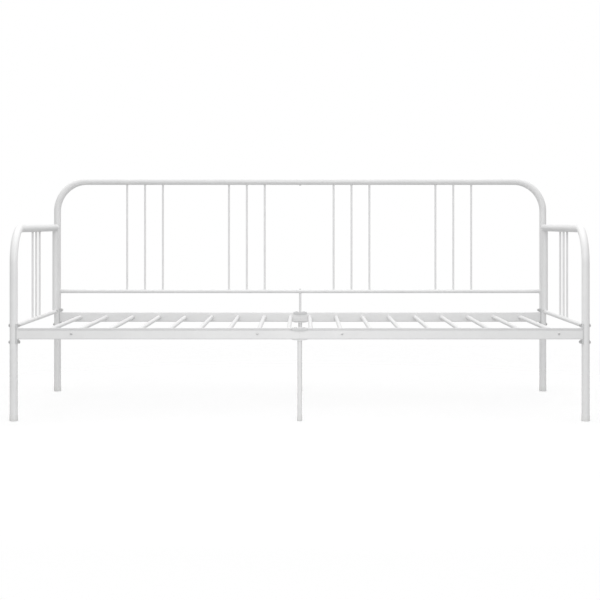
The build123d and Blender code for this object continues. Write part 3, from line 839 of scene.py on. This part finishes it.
def clamp_section(x, y, inset):
    """Bent-plate section: down one lip's outside and back along the inside."""
    lip = LIP_ENDS + (LIP_MIDDLE - LIP_ENDS) * (1 - (x / CLAMP_HALF) ** 2)

    def path(half_width, top, bend):
        points = [(-half_width, RAIL_TOP_Z - lip + inset)]
        points += [(-half_width, RAIL_TOP_Z - lip * step) for step in LIP_STEPS]
        for side_sign, start in ((-1, 180), (1, 90)):
            for i in range(BEND_STEPS + 1):
                angle = math.radians(start - 90 // BEND_STEPS * i)
                across_y = side_sign * (half_width - bend) + bend * math.cos(angle)
                points.append((across_y, top - bend + bend * math.sin(angle)))
        points += [(half_width, RAIL_TOP_Z - lip * step) for step in LIP_STEPS[::-1]]
        points.append((half_width, RAIL_TOP_Z - lip + inset))
        return points

    outside = path(RAIL_FACE + CLAMP_WALL - inset, RAIL_TOP_Z + CLAMP_WALL - inset, CLAMP_BEND)
    inside = path(RAIL_FACE + inset, RAIL_TOP_Z + inset, CLAMP_INNER_BEND)
    return [Vector((x, y + across_y, z)) for across_y, z in outside + inside[::-1]]


clamps = Shape()
for row in ROWS:
    stations = [(-CLAMP_HALF, CLAMP_EDGE), (-CLAMP_HALF + CLAMP_EDGE, 0.0)]
    stations += [(CLAMP_HALF * i / 12, 0.0) for i in range(-11, 12)]
    stations += [(CLAMP_HALF - CLAMP_EDGE, 0.0), (CLAMP_HALF, CLAMP_EDGE)]
    clamps.band([clamp_section(x, ROW_Y[row], inset) for x, inset in stations])
# The clamps' darker grey partly paints the shade under the clamp lips.
clamps.make("rail_seam_clamps", "galvanised_plate", ["rail_joint_clamps"])

# ------------------------------------------------------------------ end caps
CAP_FLANGE = 2.0 * MM
CAP_PLUG = 12.0 * MM
PLUG_CLEARANCE = 0.1 * MM
CAP_EDGE_R = 1.4 * MM
end_caps = Shape()
for side_name, side in SIDES:
    rail_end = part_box(f"arm_lower_rail_{side_name}")[1].y
    ends = (
        (Vector((side * LEG_X, ARM_TUBE_END_Y, ARM_TOP_Z)), FRAME_R, FRAME_WALL),
        (Vector((side * LEG_X, rail_end, ARM_RAIL_Z)), RAIL_R, THIN_WALL),
    )
    for end, radius, wall in ends:
        plug_r = radius - wall - PLUG_CLEARANCE
        profile = [(-CAP_PLUG, 0.8 * plug_r), (-CAP_PLUG + 1.5 * MM, plug_r), (0.0, plug_r)]
        profile += [(0.0, radius - 0.2 * MM), (0.2 * MM, radius)]
        crown = (CAP_FLANGE - CAP_EDGE_R, radius - CAP_EDGE_R, CAP_EDGE_R)
        profile += arc_profile(*crown, start=0, stop=90, steps=6)
        profile.append((CAP_FLANGE - 0.3 * MM, 0.45 * radius))
        lathe(end_caps, end, Y_AXIS, profile)
end_caps.make("arm_round_caps", "white_plastic", ["arm_end_caps"])

# ------------------------------------------------------------------ foot caps
CAP_WALL = 1.0 * MM
CAP_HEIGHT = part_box("corner_foot_caps")[1].z
CAP_FLOOR = LEG_FOOT_Z
FOOT_EDGE_R = 2.2 * MM
CAP_RIM_R = 0.8 * MM


def foot_cup(shape, x, y, tube_r):
    """Cup with a rolled rim, a shallow waist line and a softly rounded foot."""
    outer = tube_r + CAP_WALL
    profile = [(0.0, 0.55 * outer)]
    profile += arc_profile(FOOT_EDGE_R, outer - FOOT_EDGE_R, FOOT_EDGE_R, -90, 0, 6)
    for height, inset in ((5.0, 0.0), (5.4, 0.3), (6.2, 0.3), (6.6, 0.0)):
        profile.append((height * MM, outer - inset * MM))
    profile += arc_profile(CAP_HEIGHT - CAP_RIM_R, outer - CAP_RIM_R, CAP_RIM_R, 0, 80, 5)
    profile.append((CAP_HEIGHT - 0.3 * MM, tube_r + 0.05 * MM))
    profile += [(CAP_FLOOR, tube_r), (CAP_FLOOR, 2 * MM)]
    lathe(shape, Vector((x, y, 0)), Z_AXIS, profile, FINE_SIDES)


caps = Shape()
for _, side in SIDES:
    for row in ROWS:
        foot_cup(caps, side * LEG_X, ROW_Y[row], FRAME_R)
caps.make("corner_foot_cups", "white_plastic", ["corner_foot_caps"])
caps = Shape()
for row in ROWS:
    foot_cup(caps, 0, ROW_Y[row], RAIL_R)
caps.make("centre_foot_cups", "white_plastic", ["centre_foot_caps"])

# ------------------------------------------------------------------ carried-over CAD nodes
slot_of = {row["node"]: row["material_slot"] for row in frame["record"]["subparts"]}
for name, node in frame["nodes"].items():
    node.data.materials.clear()
    node.data.materials.append(MATERIALS[slot_of[name]])


# ------------------------------------------------------------------ floor, light, camera
FLOOR_COVER = 0.3  # the rest of the backdrop's white shows through
FADE_START = 1.6  # metres from the middle of the bed
FADE_END = 3.0
FLOOR_HALF = 6.0


def floor_material():
    """Pale matt floor that thins out into the white backdrop away from the bed."""
    material, tree, shader, coords = node_material("studio_floor", roughness=0.9)
    shader.inputs["Specular IOR Level"].default_value = 0.0
    tint = noise(tree, coords, scale=1.5, detail=2.0)
    colour = colour_ramp(tree, tint, ((0.3, (0.79, 0.79, 0.79)), (0.7, (0.81, 0.81, 0.81))))
    tree.links.new(colour, shader.inputs["Base Color"])
    distance = tree.nodes.new("ShaderNodeVectorMath")
    distance.operation = "LENGTH"
    tree.links.new(coords, distance.inputs[0])
    cover = tree.nodes.new("ShaderNodeMapRange")
    cover.interpolation_type = "SMOOTHSTEP"
    cover.inputs["From Min"].default_value = FADE_START
    cover.inputs["From Max"].default_value = FADE_END
    cover.inputs["To Min"].default_value = FLOOR_COVER
    cover.inputs["To Max"].default_value = 0.0
    tree.links.new(distance.outputs["Value"], cover.inputs["Value"])
    clear = tree.nodes.new("ShaderNodeBsdfTransparent")
    blend = tree.nodes.new("ShaderNodeMixShader")
    tree.links.new(cover.outputs["Result"], blend.inputs["Fac"])
    tree.links.new(clear.outputs["BSDF"], blend.inputs[1])
    tree.links.new(shader.outputs["BSDF"], blend.inputs[2])
    tree.links.new(blend.outputs["Shader"], tree.nodes["Material Output"].inputs["Surface"])
    return material


corners = [(x * FLOOR_HALF, y * FLOOR_HALF, 0) for x, y in ((-1, -1), (1, -1), (1, 1), (-1, 1))]
floor_mesh = bpy.data.meshes.new("studio_floor")
floor_mesh.from_pydata(corners, [], [(0, 1, 2, 3)])
floor = bpy.data.objects.new("studio_floor", floor_mesh)
bpy.context.scene.collection.objects.link(floor)
floor_mesh.materials.append(floor_material())

# Each level is where it sits between straight down (0) and straight up (1), and how bright it is.
GROUND = (0.45, 0.47)
HORIZON = (0.53, 0.7)
ZENITH = (0.82, 1.27)
SIDE_SHARE = 0.72  # how much of the sky's light comes from the left and right


def studio_world():
    """White backdrop; its light is strong above, weaker at the sides and from the floor."""
    world = bpy.data.worlds.new("white_studio")
    world.use_nodes = True
    tree = world.node_tree
    background = tree.nodes["Background"]
    background.inputs["Color"].default_value = (1, 1, 1, 1)
    coords = tree.nodes.new("ShaderNodeTexCoord")
    split = tree.nodes.new("ShaderNodeSeparateXYZ")
    tree.links.new(coords.outputs["Generated"], split.inputs["Vector"])
    height = tree.nodes.new("ShaderNodeValToRGB")
    height.color_ramp.elements.new(0.5)
    for element, (position, level) in zip(height.color_ramp.elements, (GROUND, HORIZON, ZENITH)):
        element.position = position
        element.color = (level, level, level, 1.0)
    half = tree.nodes.new("ShaderNodeMapRange")
    half.inputs["From Min"].default_value = -1.0
    tree.links.new(split.outputs["Z"], half.inputs["Value"])
    tree.links.new(half.outputs["Result"], height.inputs["Fac"])
    square = tree.nodes.new("ShaderNodeMath")
    square.operation = "MULTIPLY"
    tree.links.new(split.outputs["X"], square.inputs[0])
    tree.links.new(split.outputs["X"], square.inputs[1])
    sides = tree.nodes.new("ShaderNodeMapRange")
    sides.inputs["To Min"].default_value = 1.0
    sides.inputs["To Max"].default_value = SIDE_SHARE
    tree.links.new(square.outputs["Value"], sides.inputs["Value"])
    light = tree.nodes.new("ShaderNodeMath")
    light.operation = "MULTIPLY"
    tree.links.new(height.outputs["Color"], light.inputs[0])
    tree.links.new(sides.outputs["Result"], light.inputs[1])
    path = tree.nodes.new("ShaderNodeLightPath")
    strength = tree.nodes.new("ShaderNodeMix")
    strength.inputs["B"].default_value = 1.0
    tree.links.new(path.outputs["Is Camera Ray"], strength.inputs["Factor"])
    tree.links.new(light.outputs["Value"], strength.inputs["A"])
    tree.links.new(strength.outputs["Result"], background.inputs["Strength"])
    bpy.context.scene.world = world


studio_world()


def area_light(name, place, target, width, height, power):
    light = bpy.data.lights.new(name, "AREA")
    light.shape = "RECTANGLE"
    light.size = width
    light.size_y = height
    light.energy = power
    holder = bpy.data.objects.new(name, light)
    holder.location = place
    holder.rotation_euler = (Vector(target) - Vector(place)).to_track_quat("-Z", "Y").to_euler()
    holder.visible_camera = False
    bpy.context.scene.collection.objects.link(holder)


area_light(
    "overhead_softbox", place=(0, 0.2, 3.2), target=(0, 0, 0), width=4.5, height=3.0, power=26
)
area_light(
    "front_softbox", place=(0, -2.2, 1.1), target=(0, 0, 0.4), width=0.9, height=1.2, power=11
)

CAMERA_DISTANCE = 5.151  # in front of the front legs
CAMERA_HEIGHT = 0.708
CAMERA_X = 0.012
SENSOR = 36.0
FRAME_PIXELS = 600
FOCAL_PIXELS = 1436
SHIFT_X = -0.005
SHIFT_Y = -0.1274
camera_data = bpy.data.cameras.new("photo_camera")
camera_data.sensor_width = SENSOR
camera_data.lens = SENSOR * FOCAL_PIXELS / FRAME_PIXELS
camera_data.shift_x = SHIFT_X
camera_data.shift_y = SHIFT_Y
camera = bpy.data.objects.new("photo_camera", camera_data)
camera.location = (CAMERA_X, FRONT_Y - CAMERA_DISTANCE, CAMERA_HEIGHT)
camera.rotation_euler = (math.radians(90), 0, 0)
bpy.context.scene.collection.objects.link(camera)
bpy.context.scene.camera = camera
bpy.context.scene.view_settings.view_transform = "Standard"
